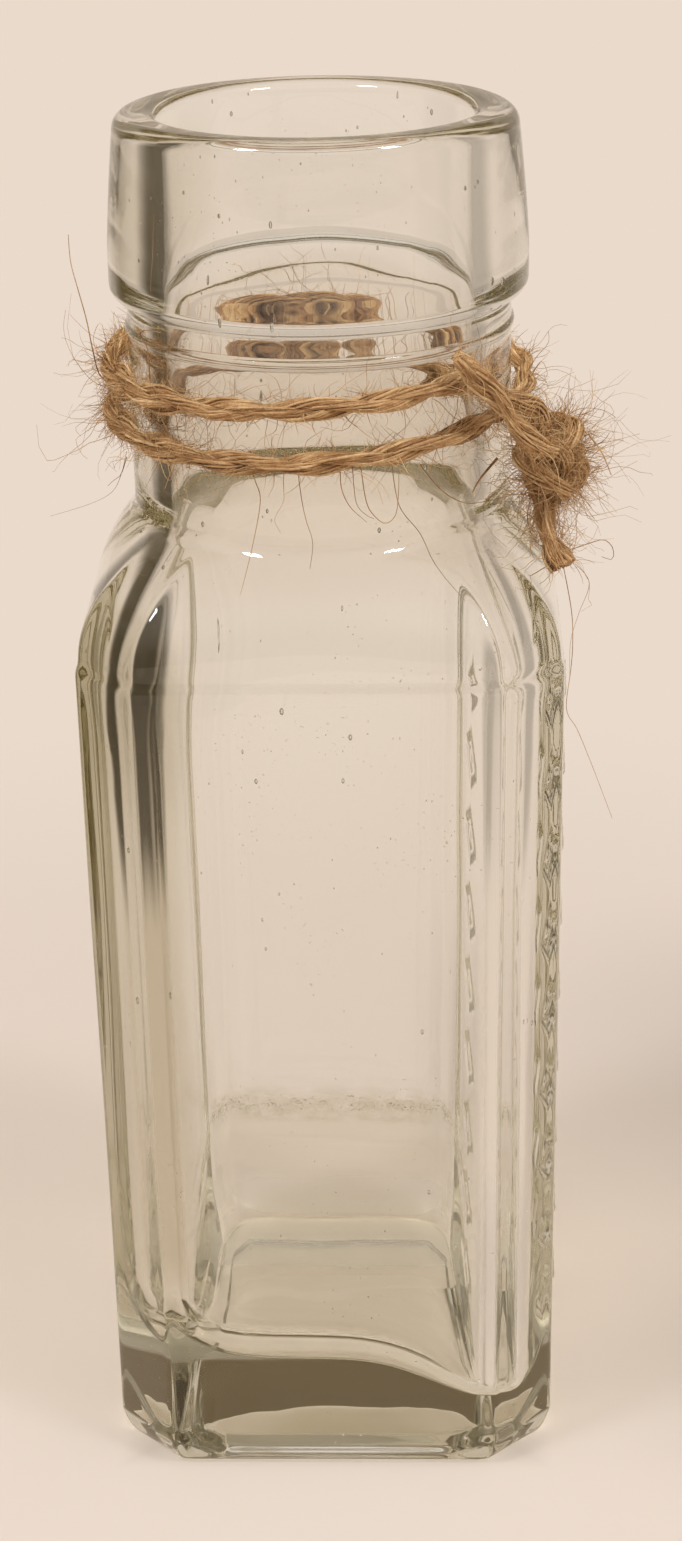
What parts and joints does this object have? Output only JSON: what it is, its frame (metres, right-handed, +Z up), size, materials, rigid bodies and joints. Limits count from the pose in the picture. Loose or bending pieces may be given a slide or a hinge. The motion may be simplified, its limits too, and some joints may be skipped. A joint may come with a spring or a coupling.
{
  "type": "glass bottle",
  "caption": "Square wide-mouth glass bottle with cut corners, a side panel of raised lozenges, and jute twine tied round its neck.",
  "frame": {"origin": "centre of the base's resting plane, on the axis of the neck", "axes": "+Z up along the neck; the plain front panel faces -Y and the embossed panel faces +X"},
  "size_m": [0.0526, 0.0496, 0.145],
  "materials": {
    "clear_glass": "clear pressed glass, faint grey-green, fire polished with light seed and wave",
    "jute": "two-ply jute, golden brown, hairy"
  },
  "bodies": {
    "bottle": {"bottle": "clear_glass"},
    "twine": {"twine_winding": "jute", "twine_knot": "jute", "twine_upper_tail": "jute", "twine_lower_tail": "jute"}
  },
  "joints": [
    {"name": "twine_turn", "type": "hinge", "parent": "bottle", "child": "twine", "pos_m": [0, 0, 0.115], "axis": [0, 0, 1], "continuous": true}
  ]
}
